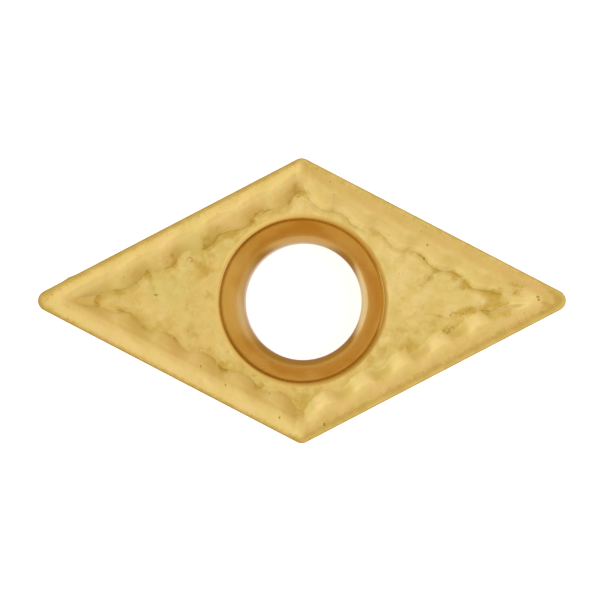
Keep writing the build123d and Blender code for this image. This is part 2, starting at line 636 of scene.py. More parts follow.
class RingModel:
    """A mesh in edit mode whose vertices know their ring's level and their place round it."""

    def __init__(self, name, points):
        bpy.ops.object.select_all(action="DESELECT")
        bpy.ops.mesh.primitive_circle_add(vertices=COLUMNS, radius=1.0, fill_type="NOTHING")
        self.piece = bpy.context.object
        self.piece.name = name
        self.piece.data.name = name
        bpy.ops.object.mode_set(mode="EDIT")
        bm = self.edit()
        bm.verts.layers.int.new("level")
        bm.verts.layers.int.new("column")
        column = bm.verts.layers.int["column"]
        for vert in bm.verts:
            vert[column] = vert.index
        self.level = 0
        self.place(points)

    def edit(self):
        return bmesh.from_edit_mesh(self.piece.data)

    def place(self, points):
        """Moves the selected ring to its points and numbers it."""
        bm = self.edit()
        level = bm.verts.layers.int["level"]
        column = bm.verts.layers.int["column"]
        self.level += 1
        for vert in bm.verts:
            if vert.select:
                vert.co = points[vert[column]]
                vert[level] = self.level
        bmesh.update_edit_mesh(self.piece.data)
        return self.level

    def extrude(self, points):
        """Extrudes the last ring to a new one, and returns its level."""
        bpy.ops.mesh.extrude_edges_move()
        return self.place(points)

    def select_edges(self, levels):
        """Selects the edges that join two levels, or that run round one."""
        bpy.ops.mesh.select_mode(type="EDGE")
        bpy.ops.mesh.select_all(action="DESELECT")
        bm = self.edit()
        level = bm.verts.layers.int["level"]
        for edge in bm.edges:
            if {vert[level] for vert in edge.verts} == levels:
                edge.select = True
        bmesh.update_edit_mesh(self.piece.data)

    def round_off(self, level, width, segments):
        """Rounds the ring of one level."""
        self.select_edges({level})
        bpy.ops.mesh.bevel(
            offset=width, segments=segments, affect="EDGES", offset_type="OFFSET", clamp_overlap=False
        )

    def divide(self, lower, upper, cuts):
        """Divides the band between two levels into more rings."""
        self.select_edges({lower, upper})
        bpy.ops.mesh.subdivide_edgering(number_cuts=cuts, interpolation="LINEAR")

    def close(self, first):
        """Joins the last ring to the first one, which lies in the same place, under its number."""
        bm = self.edit()
        level = bm.verts.layers.int["level"]
        for vert in bm.verts:
            if vert[level] == self.level:
                vert[level] = first
        bmesh.update_edit_mesh(self.piece.data)
        bpy.ops.mesh.select_all(action="SELECT")
        bpy.ops.mesh.remove_doubles(threshold=1e-7)
        bpy.ops.mesh.normals_make_consistent(inside=False)

    def finish(self):
        """Leaves edit mode and drops the numbering."""
        bpy.ops.object.mode_set(mode="OBJECT")
        mesh = self.piece.data
        for name in ("level", "column"):
            mesh.attributes.remove(mesh.attributes[name])
        return self.piece


def model_body(sizes):
    """The insert's skin, from the foot of the hole over the seat, flanks, edge and groove into the hole."""
    top = CAD_HIGH.z
    thickness = top - sizes.plateau_rise
    edge_height = thickness - sizes.land_drop
    relief = math.tan(sizes.relief_angle)
    chamfer = sizes.foot_chamfer
    hole_radius = MOUNTS["screw_hole"]["dims"]["r_mm"] * MM
    slope = sizes.sink_angle / 2
    mouth_setback = sizes.mouth_radius * math.tan((math.pi / 2 - slope) / 2)
    cone_mouth = sizes.mouth_diameter / 2 - mouth_setback
    cone_foot = top - (cone_mouth - hole_radius) / math.tan(slope)
    edge_corners = [sizes.nose_radius] * 2
    rim_corners = [sizes.nose_radius - sizes.land_width] * 2
    seat_corners = [sizes.seat_nose_radius] * 2
    groove_height = thickness - sizes.groove_depth
    lip = [
        plateau_outline(sizes, inwards * sizes.lip, top - down * sizes.lip) for inwards, down in LIP_PROFILE
    ]
    plateau = lip[-1]
    foot_of_hole = circle(hole_radius + chamfer, 0, plateau)

    rings = RingModel("insert_skin", foot_of_hole)
    first = rings.level
    seat = rings.extrude(outline(sizes, edge_height * relief + chamfer, 0, seat_corners))
    foot = rings.extrude(outline(sizes, (edge_height - chamfer) * relief, chamfer, seat_corners))
    edge = rings.extrude(outline(sizes, 0, edge_height, edge_corners))
    rim = rings.extrude(outline(sizes, sizes.land_width, thickness, rim_corners))
    groove_line = rings.extrude(
        outline(sizes, sizes.groove_offset, groove_height, GROOVE_CORNERS, sizes.groove_wave)
    )
    lip_foot, *_, plateau_line = [rings.extrude(ring) for ring in lip]
    brim = rings.extrude(circle(sizes.mouth_diameter / 2 + BRIM, top, plateau))
    mouth = rings.extrude(circle(cone_mouth, top, plateau))
    throat = rings.extrude(circle(hole_radius, cone_foot, plateau))
    hole_foot = rings.extrude(circle(hole_radius, chamfer, plateau))
    rings.extrude(foot_of_hole)
    rings.close(first)

    rings.round_off(edge, sizes.hone, segments=5)
    rings.round_off(rim, LAND_ROUNDING, segments=3)
    rings.round_off(groove_line, GROOVE_ROUNDING, segments=10)
    rings.round_off(mouth, mouth_setback, segments=7)
    rings.round_off(throat, sizes.throat_radius * math.tan(slope / 2), segments=9)
    rings.divide(first, seat, cuts=3)
    rings.divide(foot, edge, cuts=10)
    rings.divide(edge, rim, cuts=1)
    rings.divide(rim, groove_line, cuts=8)
    rings.divide(groove_line, lip_foot, cuts=8)
    rings.divide(plateau_line, brim, cuts=28)
    rings.divide(mouth, throat, cuts=5)
    rings.divide(throat, hole_foot, cuts=6)
    return rings.finish()


def choose(piece):
    """Makes the piece the active and the only selected one."""
    bpy.ops.object.select_all(action="DESELECT")
    piece.select_set(True)
    bpy.context.view_layer.objects.active = piece


def move_skin(piece, name, group, strength, blot=None):
    """Moves the skin along its normals where the vertex group says so: all one way, or up and down by clouds
    whose blots are of the given size."""
    bpy.ops.object.modifier_add(type="DISPLACE")
    move = piece.modifiers[-1]
    move.name = name
    move.strength = strength
    move.mid_level = 0.0
    move.vertex_group = group
    if blot:
        move.texture = bpy.data.textures.new(name, "CLOUDS")
        move.texture.noise_scale = blot
        move.texture.noise_depth = 1
        move.texture_coords = "LOCAL"
        move.mid_level = 0.5
    bpy.ops.object.modifier_apply(modifier=name)


def weigh(piece, name, weights, steps=20):
    """A vertex group with a weight for every vertex, rounded to so many steps. Returns its name."""
    group = piece.vertex_groups.new(name=name)
    levels = np.round(np.asarray(weights) * steps).astype(int)
    for level in range(1, steps + 1):
        group.add(np.flatnonzero(levels == level).tolist(), level / steps, "REPLACE")
    return name


def vertex_places(mesh):
    """The places of a mesh's vertices."""
    places = np.empty(len(mesh.vertices) * 3)
    mesh.vertices.foreach_get("co", places)
    return places.reshape(-1, 3)


def vertex_values(mesh, name):
    """What an attribute says at a mesh's vertices."""
    values = np.empty(len(mesh.vertices))
    mesh.attributes[name].data.foreach_get("value", values)
    return values


def distance_in_plan(places, x, y, reach):
    """How far each point is in plan from a mark given in millimetres, as a part of the mark's reach."""
    return np.linalg.norm(places[:, :2] - np.array((x, y)) * MM, axis=1) / (reach * MM)


def nearness(places, marks):
    """For each point, 1 at the middle of a mark and 0 from its radius on; a mark may have a strength."""
    near = np.zeros(len(places))
    for x, y, radius, *strength in marks:
        away = distance_in_plan(places, x, y, radius)
        near = np.maximum(near, np.clip(1 - away, 0, 1) * (strength[0] if strength else 1))
    return near


def drifted(places, blot, reach):
    """The points moved about in plan by noise, so that round marks laid on them get uneven outlines."""
    elsewhere = Vector((17.3, 5.9, 8.1))  # where the moves along Y are read, so that they differ from X
    moves = np.zeros_like(places)
    for number, place in enumerate(places):
        spot = Vector(place) / blot
        moves[number, :2] = noise.noise(spot), noise.noise(spot + elsewhere)
    return places + moves * reach


def uneven_surface(piece):
    """The unevenness of a pressed and sintered face, its pits, and a burr on the edge."""
    choose(piece)
    mesh = piece.data
    even_edge = 0.3  # the unevenness grows from nothing at the cutting edge over this many millimetres
    outside_hole = 1 - vertex_values(mesh, "in_hole")
    pressed = np.clip(vertex_values(mesh, "from_edge") / even_edge, 0, 1) * outside_hole
    face = weigh(piece, "pressed_face", pressed)
    move_skin(piece, "pressed_waves", face, strength=0.022 * MM, blot=0.55 * MM)
    move_skin(piece, "pressed_dimples", face, strength=0.010 * MM, blot=0.22 * MM)

    places = vertex_places(mesh)
    on_top = places[:, 2] > CAD_HIGH.z - MARKED_DEPTH
    pits = weigh(piece, "pits", nearness(places, PITS) * on_top)
    move_skin(piece, "sink_pits", pits, strength=-0.02 * MM)
    x, y, reach, out = BURR
    lifted = np.clip(1 - distance_in_plan(places, x, y, reach) ** 2, 0, 1) * on_top
    move_skin(piece, "raise_burr", weigh(piece, "burr", lifted), strength=out * MM)


def distance_from_edge(sizes, flat):
    """How far points in plan are from the straight cutting edges, or from a corner's arc beyond its ends."""
    half = sizes.nose_angle / 2
    across = np.abs(flat) @ (math.sin(half), math.cos(half))
    from_edge = sizes.inscribed_circle / 2 - across
    for axis, lean in ((0, half), (1, math.pi / 2 - half)):
        centre = np.zeros(2)
        centre[axis] = (sizes.inscribed_circle / 2 - sizes.nose_radius) / math.sin(lean)
        away = np.abs(flat) - centre
        round_corner = away[:, axis] * math.tan(lean) > away[:, 1 - axis]
        from_arc = sizes.nose_radius - np.linalg.norm(away, axis=1)
        from_edge = np.where(round_corner & (away[:, axis] > 0), from_arc, from_edge)
    return from_edge


def distance_inside_lip(sizes, flat):
    """How far points in plan are inside the edge of the centre land, and outside it below zero. Close to the
    edge it is measured at right angles to it, and elsewhere to its nearest point."""
    close = 0.1 * MM
    lip_line = plateau_outline(sizes, 0, 0)
    tree = kdtree.KDTree(COLUMNS)
    for number, point in enumerate(lip_line):
        tree.insert(point, number)
    tree.balance()
    along = np.roll(lip_line, -1, axis=0) - np.roll(lip_line, 1, axis=0)
    inward = np.column_stack((-along[:, 1], along[:, 0]))
    inward /= np.linalg.norm(inward, axis=1, keepdims=True)
    from_lip = np.empty(len(flat))
    for number, point in enumerate(flat):
        _, place, distance = tree.find((*point, 0))
        step_in = (point - lip_line[place, :2]) @ inward[place]
        from_lip[number] = math.copysign(distance, step_in) if distance > close else step_in
    return from_lip


def place_on_wall(sizes, flat):
    """How points in plan lie to the scalloped wall: 1 beside the middle of a hollow, -1 beside a bulge."""
    half = sizes.nose_angle / 2
    corner = sizes.inscribed_circle / 2 / math.sin(half)
    along = (corner - np.abs(flat[:, 0])) * math.cos(half) + np.abs(flat[:, 1]) * math.sin(half)
    chord = sizes.scallop_pitch / 2
    last = sizes.last_hollow + chord / 2
    on_wall = (along > last - 2 * sizes.hollows * chord) & (along < last)
    return scallop(sizes, np.where(on_wall, along, last), sizes.plateau_wave) / sizes.plateau_wave


def mark_surface(piece, sizes):
    """Gives each vertex what the coating needs to know: how far in from the cutting edge it is, or how far
    down the flank as a negative number, and how far inside the edge of the centre land, in millimetres,
    whether it is beside a hollow or a bulge of the wall, whether it is in the hole, and how stained."""
    mesh = piece.data
    places = vertex_places(mesh)
    flat = places[:, :2]
    height = places[:, 2]

    # the flanks count from the edge's height down, and the underside is off the scale
    from_edge = distance_from_edge(sizes, flat)
    drop = CAD_HIGH.z - sizes.plateau_rise - sizes.land_drop - height
    slack = 0.01 * MM
    on_flank = (drop > 0) & (from_edge < drop * math.tan(sizes.relief_angle) + slack)
    from_edge = np.where(on_flank, -drop, from_edge)
    from_edge[height < 1.5 * sizes.foot_chamfer] = FAR_OFF * MM

    # the hole's coating fades into the face's over the rim of its mouth, and ends above its foot
    inside_mouth = (sizes.mouth_diameter / 2 - np.linalg.norm(flat, axis=1)) / (0.2 * sizes.mouth_radius)
    in_hole = np.clip(inside_mouth + 0.5, 0, 1) * (height > 2 * sizes.foot_chamfer)

    on_top = (height > CAD_HIGH.z / 2) & ~on_flank
    values = {
        "from_edge": from_edge / MM,
        "from_lip": np.where(on_top, distance_inside_lip(sizes, flat) / MM, FAR_OFF),
        "in_hole": in_hole,
        "hollow": place_on_wall(sizes, flat),
        "stained": nearness(drifted(places, blot=0.35 * MM, reach=0.30 * MM), STAINS) * on_top,
    }
    for name, value in values.items():
        layer = mesh.attributes.new(name, "FLOAT", "POINT")
        layer.data.foreach_set("value", value.astype(np.float32))


def finish_shading(piece):
    """Smooth shading all over, but for the sharp lines of the foot chamfers."""
    choose(piece)
    bpy.ops.object.shade_smooth_by_angle(angle=SHARP_ANGLE)


# Shorthands for the nodes of materials and of the surroundings


def add_node(tree, kind, **settings):
    """A new node with its settings; inputs are given afterwards by feed."""
    node = tree.nodes.new("ShaderNode" + kind)
    for name, value in settings.items():
        setattr(node, name, value)
    return node


def feed(tree, node, **inputs):
    """Gives a node's inputs a value or another node's output; n0, n1 and so on are inputs by their number."""
    for name, value in inputs.items():
        by_number = name[0] == "n" and name[1:].isdigit()
        socket = node.inputs[int(name[1:]) if by_number else name.replace("_", " ")]
        if isinstance(value, bpy.types.NodeSocket):
            tree.links.new(value, socket)
        else:
            socket.default_value = value
    return node


def maths(tree, operation, first, second=0.0):
    """One calculation with a value or two."""
    node = add_node(tree, "Math", operation=operation)
    feed(tree, node, n0=first, n1=second)
    return node.outputs["Value"]


def add_sum(tree, *terms):
    """The sum of values, each times its weight."""
    total = 0.0
    for value, weight in terms:
        node = add_node(tree, "Math", operation="MULTIPLY_ADD")
        feed(tree, node, n0=value, n1=weight, n2=total)
        total = node.outputs["Value"]
    return total


def product(tree, first, *others):
    """The product of values."""
    for value in others:
        first = maths(tree, "MULTIPLY", first, value)
    return first


def larger(tree, first, *others):
    """The largest of the values."""
    for value in others:
        first = maths(tree, "MAXIMUM", first, value)
    return first


def less(tree, value, part=1.0):
    """1 less a part of the value."""
    return add_sum(tree, (value, -part), (1.0, 1.0))


def step(tree, value, low, high):
    """A soft step from 0 at low to 1 at high; low may be the larger."""
    node = add_node(tree, "MapRange", interpolation_type="SMOOTHSTEP")
    feed(tree, node, Value=value, From_Min=low, From_Max=high)
    return node.outputs["Result"]


def band(tree, value, start, full, fading, end):
    """1 between full and fading, falling softly to 0 at the start and at the end."""
    return product(tree, step(tree, value, start, full), step(tree, value, end, fading))


def near_value(tree, value, middle, reach):
    """1 where the value is at the middle, falling softly to 0 at the reach on either side."""
    off = maths(tree, "ABSOLUTE", maths(tree, "SUBTRACT", value, middle))
    return step(tree, off, reach, 0.0)


def clouds(tree, place, size_mm, detail=3.0, roughness=0.55, distortion=0.0):
    """Noise whose blots are about size_mm across."""
    node = add_node(tree, "TexNoise")
    feed(tree, node, Vector=place, Scale=1 / size_mm)
    feed(tree, node, Detail=detail, Roughness=roughness, Distortion=distortion)
    return node.outputs["Fac"]


def blots(tree, place, size_mm, low, high, **kind):
    """Soft-edged blots: clouds, stepped from 0 at low to 1 at high."""
    return step(tree, clouds(tree, place, size_mm, **kind), low, high)


def blend(tree, amount, under, over):
    """Mixes two colours."""
    node = add_node(tree, "Mix", data_type="RGBA")
    feed(tree, node, Factor=amount, n6=under, n7=over)
    return node.outputs[2]


def surface_value(tree, name):
    """A value that the mesh carries at its vertices."""
    return add_node(tree, "Attribute", attribute_name=name).outputs["Fac"]


class Surface:
    """What the coating's nodes are told about a place: where it is, in millimetres, what the mesh says of
    it, and in which of the four quarters of the plan it lies."""

    def __init__(self, tree, sizes):
        millimetres = add_node(tree, "Mapping")
        feed(tree, millimetres, Vector=add_node(tree, "TexCoord").outputs["Object"], Scale=[1 / MM] * 3)
        self.place = millimetres.outputs["Vector"]
        axes = add_node(tree, "SeparateXYZ")
        feed(tree, axes, Vector=self.place)
        self.x, self.y, self.z = axes.outputs
        self.aside = maths(tree, "ABSOLUTE", self.x)
        plan = add_node(tree, "CombineXYZ")
        feed(tree, plan, X=self.x, Y=self.y)
        self.plan = plan.outputs["Vector"]
        length = add_node(tree, "VectorMath", operation="LENGTH")
        feed(tree, length, Vector=self.plan)
        self.to_rim = maths(tree, "SUBTRACT", sizes.mouth_diameter / 2 / MM, length.outputs["Value"])
        self.from_edge = maths(tree, "ABSOLUTE", surface_value(tree, "from_edge"))
        self.from_lip = surface_value(tree, "from_lip")
        self.in_hole = surface_value(tree, "in_hole")
        self.hollow = surface_value(tree, "hollow")
        self.stained = surface_value(tree, "stained")
        self.fine = clouds(tree, self.place, 0.30, detail=4, roughness=0.62, distortion=0.8)
        self.grain = clouds(tree, self.place, 0.13, roughness=0.7)
        self.on_top = step(tree, self.from_lip, -3.0, -2.0)
        self.on_plateau = step(tree, self.from_lip, -0.1, 0.05)
        rightwards = step(tree, self.x, -1.2, 1.2)
        self.back = step(tree, self.y, -0.6, 0.6)
        self.back_right = product(tree, rightwards, self.back)
        self.front_right = maths(tree, "SUBTRACT", rightwards, self.back_right)
        self.back_left = maths(tree, "SUBTRACT", self.back, self.back_right)
        self.front_left = add_sum(tree, (rightwards, -1.0), (self.back_left, -1.0), (1.0, 1.0))


def pale_places_and_highlights(tree, at):
    """Where the coating is paler: in clouds of its own tone on the centre land, most at its back right, and
    as painted highlights in the hollows of the front right wall, at the foot of the rake along the back, and
    in glints by the back right hollows."""
    cleaner = add_sum(
        tree,
        (clouds(tree, at.place, 0.8, roughness=0.5), 1.0),
        (at.back_right, 0.19),
        (at.front_right, 0.05),
        (1.0, -0.07),
    )
    centre = product(tree, step(tree, cleaner, 0.42, 0.74), at.on_plateau, 0.75)
    wall = product(tree, band(tree, at.from_lip, -0.80, -0.35, -0.2, 0.0), at.front_right)
    # painted highlights: in the front right hollows, at the foot of the rake along the back, and glints by
    # the back right hollows
    hollows = product(tree, wall, step(tree, at.hollow, -0.4, 1.0), 0.34)
    rake_foot = product(tree, near_value(tree, at.from_edge, 0.65, 0.14), at.back, at.on_top, 0.3)
    glints = product(tree, near_value(tree, at.from_lip, -0.64, 0.17), at.back_right)
    glints = product(tree, glints, step(tree, at.hollow, 0.1, 0.9), step(tree, at.grain, 0.3, 0.55), 0.6)
    return larger(tree, centre, hollows, rake_foot, glints)


def painted_shade_places(tree, at):
    """Painted shade, in brown: on both walls of the right half, most on the bulges of the front one, and at
    the foot of the rake at the front left."""
    front_wall = product(tree, band(tree, at.from_lip, -0.80, -0.35, -0.2, 0.0), at.front_right)
    back_wall = product(tree, band(tree, at.from_lip, -0.80, -0.40, -0.30, -0.10), at.back_right)
    bulges = product(tree, band(tree, at.from_lip, -0.55, -0.30, -0.10, 0.02), at.front_right)
    bulges = product(tree, bulges, step(tree, at.hollow, 0.4, -0.9))
    rake_foot = product(tree, near_value(tree, at.from_edge, 0.8, 0.14), at.front_left, at.on_top)
    return add_sum(tree, (bulges, 0.45), (back_wall, 0.30), (front_wall, 0.12), (rake_foot, 0.2))


def drifting_gold(tree, at, finish):
    """The gold's slow changes of hue: greener on the centre land and at the back left, redder in the groove,
    and paler in places, with painted highlights in paler gold and painted shade in brown."""
    greener = blots(tree, at.place, 1.3, 0.42, 0.60, distortion=0.3)
    greener = product(tree, greener, add_sum(tree, (at.on_plateau, 0.45), (at.back_left, 0.3), (1.0, 0.25)))
    redder = blots(tree, at.place, 0.9, 0.44, 0.64, roughness=0.5, distortion=0.4)
    redder = product(tree, redder, step(tree, at.from_lip, 0.1, -0.3), 0.6)
    colour = blend(tree, greener, (*finish.gold, 1), (*finish.green_gold, 1))
    colour = blend(tree, redder, colour, (*finish.rose_gold, 1))
    # paler patches and painted highlights, then painted shade
    colour = blend(tree, pale_places_and_highlights(tree, at), colour, (*finish.pale_gold, 1))
    return blend(tree, painted_shade_places(tree, at), colour, (*finish.edge_brown_and_shade, 1))


def soft_stains(tree, at):
    """Blotches with ragged borders, where the mesh is marked as stained and thinly elsewhere."""
    near_lip = band(tree, at.from_lip, -0.15, 0.02, 0.1, 0.7)
    herds = blots(tree, at.place, 1.2, 0.40, 0.66, detail=2, roughness=0.5)
    amount = add_sum(
        tree,
        (at.stained, 0.70),
        (near_lip, 0.06),
        (herds, 0.16),
        (at.fine, 0.85),
        (at.on_plateau, 0.18),
        (at.back_right, -0.10),
        (1.0, 0.11),
    )
    return step(tree, amount, 0.66, 1.25)


def flecks(tree, at):
    """Small ragged dark flecks, mostly in the stains, and a few more at the right end of the centre land."""
    grains = blots(tree, at.place, 0.19, 0.53, 0.70, roughness=0.66, distortion=1.2)
    right_end = product(tree, step(tree, at.x, 3.0, 5.0), at.on_plateau)
    herds = clouds(tree, at.place, 0.6, roughness=0.6)
    chosen = add_sum(tree, (at.stained, 0.8), (herds, 1.0), (at.on_plateau, 0.04), (right_end, 0.05))
    return product(tree, grains, step(tree, chosen, 0.62, 0.95))


def crease(tree, at):
    """The painted shade along the lip of the centre land and the broken line of painted shade in it, which
    both end near the tips. On the front right they are faint, with a narrow painted shade on the bulges'
    crests. On the back right the line is broader and hardly broken, and weaker on its way to the blunt
    corner. Returns both."""
    ripple = clouds(tree, at.place, 0.30, roughness=0.6)
    wobble = add_sum(tree, (at.from_lip, 1.0), (ripple, 0.24), (1.0, -0.12))
    herds = clouds(tree, at.place, 0.7, roughness=0.6)
    present = add_sum(tree, (herds, 1.0), (at.stained, 0.35), (at.back_right, 0.04))
    present = step(tree, present, 0.46, 0.62)
    kept = less(tree, product(tree, at.front_right, step(tree, at.x, 6.7, 6.0)), 0.75)
    near_back = product(tree, at.back_right, step(tree, at.x, 3.6, 2.9))

    # painted shade along the lip
    shade = product(tree, band(tree, wobble, -0.20, 0.05, 0.10, 0.27), step(tree, at.aside, 8.7, 8.3), kept)
    shade = product(tree, shade, add_sum(tree, (present, 0.5), (at.back_right, 0.5), (1.0, 0.5)))
    shade = product(tree, shade, less(tree, near_back, 0.4))
    # painted shade on the crests of the front right bulges, over the lip's highlight
    crest = product(tree, near_value(tree, at.from_lip, 0.0, 0.08), at.front_right)
    crest = product(tree, crest, step(tree, at.hollow, 0.6, -0.6))

    # the broken line of painted shade
    middle = add_sum(tree, (at.back_right, 0.05), (1.0, 0.01))
    breadth = add_sum(tree, (at.back_right, 0.04), (1.0, 0.035))
    held = product(tree, at.back_right, step(tree, at.x, 3.3, 4.0), step(tree, at.fine, 0.36, 0.62), 0.6)
    fade = product(tree, kept, step(tree, at.aside, 8.1, 7.6))
    line = product(tree, near_value(tree, wobble, middle, breadth), larger(tree, present, held), fade, fade)
    line = product(tree, line, less(tree, at.back_right, 0.25), less(tree, near_back, 0.5))
    return larger(tree, shade, crest), line


def worn_land(tree, at):
    """The browned land with its ragged inner border, broadest at the noses and along the front right, a
    fainter tone behind it on the back left, and its dark outer line. Returns land and line."""
    width = add_sum(
        tree,
        (clouds(tree, at.place, 0.18, roughness=0.8), 0.5),
        (step(tree, at.aside, 8.8, 9.7), 0.15),
        (at.back_left, 0.10),
        (at.front_right, 0.20),
        (at.back_right, 0.02),
        (1.0, -0.09),
    )
    inside = maths(tree, "SUBTRACT", at.from_edge, width)
    patchy = blots(tree, at.place, 0.5, 0.35, 0.6, roughness=0.6)
    land = product(tree, step(tree, inside, 0.06, -0.15), add_sum(tree, (patchy, 0.35), (1.0, 0.65)))
    behind = product(tree, step(tree, at.from_edge, 0.60, 0.15), at.back_left, 0.32)
    outer_line = step(tree, at.from_edge, 0.09, 0.01)
    return larger(tree, land, behind), outer_line


def pitted(tree, at):
    """Pits with uneven outlines, craters with broken rims, and a few scattered specks."""
    ripple = add_node(tree, "TexNoise")
    feed(tree, ripple, Vector=at.place, Scale=8.0, Detail=2.0)
    shift = add_node(tree, "VectorMath", operation="SCALE")
    feed(tree, shift, Vector=ripple.outputs["Color"], Scale=2 * MARK_DRIFT)
    uneven = add_node(tree, "VectorMath", operation="ADD")
    feed(tree, uneven, n0=at.plan, n1=shift.outputs["Vector"])
    herds = blots(tree, at.place, 1.0, 0.5, 0.65, detail=2, roughness=0.5)
    dark = product(tree, blots(tree, at.place, 0.10, 0.71, 0.78, detail=1, roughness=0.5), herds, 0.6)
    broken = product(tree, step(tree, at.grain, 0.40, 0.60), 0.8)
    for x, y, radius in PITS + CRATERS:
        measure = add_node(tree, "VectorMath", operation="DISTANCE")
        middle = (x + MARK_DRIFT, y + MARK_DRIFT, MARK_DRIFT)
        distance = feed(tree, measure, n0=uneven.outputs["Vector"], n1=middle).outputs["Value"]
        if (x, y, radius) in PITS:
            mark = step(tree, distance, 1.2 * radius, 0.4 * radius)
        else:
            mark = product(tree, near_value(tree, distance, radius, CRATER_RIM), broken)
        dark = larger(tree, dark, mark)
    return product(tree, dark, step(tree, at.z, 3.0, 3.2))


def hole_coating(tree, at, finish):
    """The coating in the hole: copper, lighter outwards and at its sides, in clouds and as painted
    highlights, with a painted highlight in the throat's right, and browner in its depth as painted shade. The
    throat, where the conical seat runs into the hole, has painted shade too but for its sides and its back,
    which keep painted highlights. Round the mouth runs a brown line of painted shade, darkest at the front
    and the left, with a thin painted glint at the right and at the back left. Returns the colour, and the
    tint of its reflections at a grazing angle, darker in the throat as painted shade."""
    edge_brown_and_shade = (*finish.edge_brown_and_shade, 1)
    dark_stain_and_shade = (*finish.stain_and_shade, 1)

    # lighter copper: clouds of tone, and painted highlights outwards, at the sides and in the throat's right
    right_throat = product(tree, step(tree, at.z, 3.0, 2.75), step(tree, at.x, 1.6, 2.2))
    lighter = add_sum(
        tree,
        (clouds(tree, at.place, 2.2, detail=2, roughness=0.5), 1.0),
        (at.to_rim, -0.45),
        (at.x, -0.03),
        (at.aside, 0.09),
        (right_throat, 0.5),
        (1.0, 0.506),
    )
    lighter = product(tree, step(tree, lighter, 0.80, 1.05), step(tree, at.to_rim, 0.195, 0.275))
    # painted shade deep in the hole
    depth = product(tree, step(tree, at.z, 2.6, 2.0), 0.35)
    # the throat's right, left and back, which keep their painted highlights
    throat_highlights = add_sum(
        tree,
        (step(tree, at.x, 1.8, 2.25), 1.0),
        (step(tree, at.x, -1.5, -2.2), 0.6),
        (step(tree, at.y, 1.7, 2.2), 0.8),
    )
    # painted shade in the rest of the throat
    throat = product(tree, band(tree, at.z, 1.9, 2.1, 2.75, 3.0), less(tree, throat_highlights), 0.68)

    # painted glints at the right and back left of the mouth
    right_glint = product(tree, near_value(tree, at.to_rim, 0.175, 0.10), step(tree, at.x, 2.75, 2.95))
    left_glint = product(tree, near_value(tree, at.to_rim, 0.145, 0.05), step(tree, at.x, -1.0, -2.0))
    left_glint = product(tree, left_glint, step(tree, at.y, -0.3, 0.6), 0.7)
    glint = larger(tree, right_glint, left_glint)
    # a line of painted shade round the mouth, darkest at the front and the left
    leftwards = step(tree, at.x, 0.5, -2.0)
    frontwards = step(tree, at.y, 0.5, -2.0)
    darkest = larger(tree, product(tree, leftwards, 0.18), product(tree, frontwards, 0.3))
    mouth = add_sum(tree, (darkest, 1.0), (step(tree, at.y, 2.3, 3.0), -0.14), (1.0, 0.21))
    inside = add_sum(tree, (at.to_rim, 1.0), (leftwards, -0.05))
    outwards = add_sum(tree, (step(tree, inside, -0.015, 0.125), 0.5), (1.0, 0.5))
    mouth = product(tree, mouth, step(tree, inside, 0.265, 0.175), outwards, less(tree, glint))

    colour = blend(tree, larger(tree, lighter, glint), (*finish.copper, 1), (*finish.light_copper, 1))
    colour = blend(tree, depth, colour, edge_brown_and_shade)
    colour = blend(tree, throat, colour, dark_stain_and_shade)
    colour = blend(tree, mouth, colour, dark_stain_and_shade)
    # the throat's darker grazing tint is painted shade too
    return colour, blend(tree, throat, GRAZING_COPPER, GRAZING_THROAT)


def seat_line(tree, at):
    """A broken line of painted shade where the conical seat begins, round all but its left."""
    line_place = add_sum(tree, (at.to_rim, 1.0), (step(tree, at.x, 2.6, 3.0), 0.11))
    line = product(tree, near_value(tree, line_place, 0.215, 0.06), step(tree, at.x, -2.4, -1.0))
    line = product(tree, line, blots(tree, at.place, 1.5, 0.35, 0.5, roughness=0.6))
    return product(tree, line, step(tree, at.z, 3.0, 3.2))


